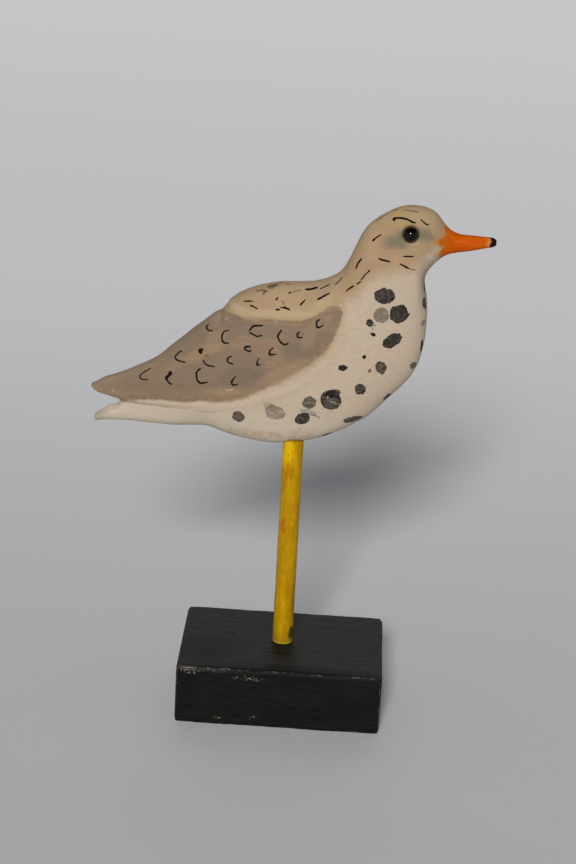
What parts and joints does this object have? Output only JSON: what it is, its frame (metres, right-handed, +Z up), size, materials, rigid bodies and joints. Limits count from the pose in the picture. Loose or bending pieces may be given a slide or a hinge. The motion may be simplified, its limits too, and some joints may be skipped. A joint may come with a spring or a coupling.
{
  "type": "shorebird decoy",
  "caption": "Folk shorebird decoy: a painted bird carved from a board, on a straight dowel leg set in a rectangular wooden block.",
  "frame": {"origin": "middle of the block's underside", "axes": "+Z up along the dowel leg, +X towards the bill, the bird's right side faces -Y"},
  "size_m": [0.231, 0.089, 0.3153],
  "materials": {
    "bird_paint": "matte hand-brushed paint, cream with a grey-brown wing and an orange bill",
    "eye_glass": "polished black bead",
    "leg_paint": "satin yellow paint",
    "block_paint": "satin black paint, brushed and worn at the edges"
  },
  "bodies": {
    "root": {"base_block": "block_paint", "dowel_leg": "leg_paint", "bird": "bird_paint", "eye_right": "eye_glass", "eye_left": "eye_glass"}
  },
  "joints": []
}
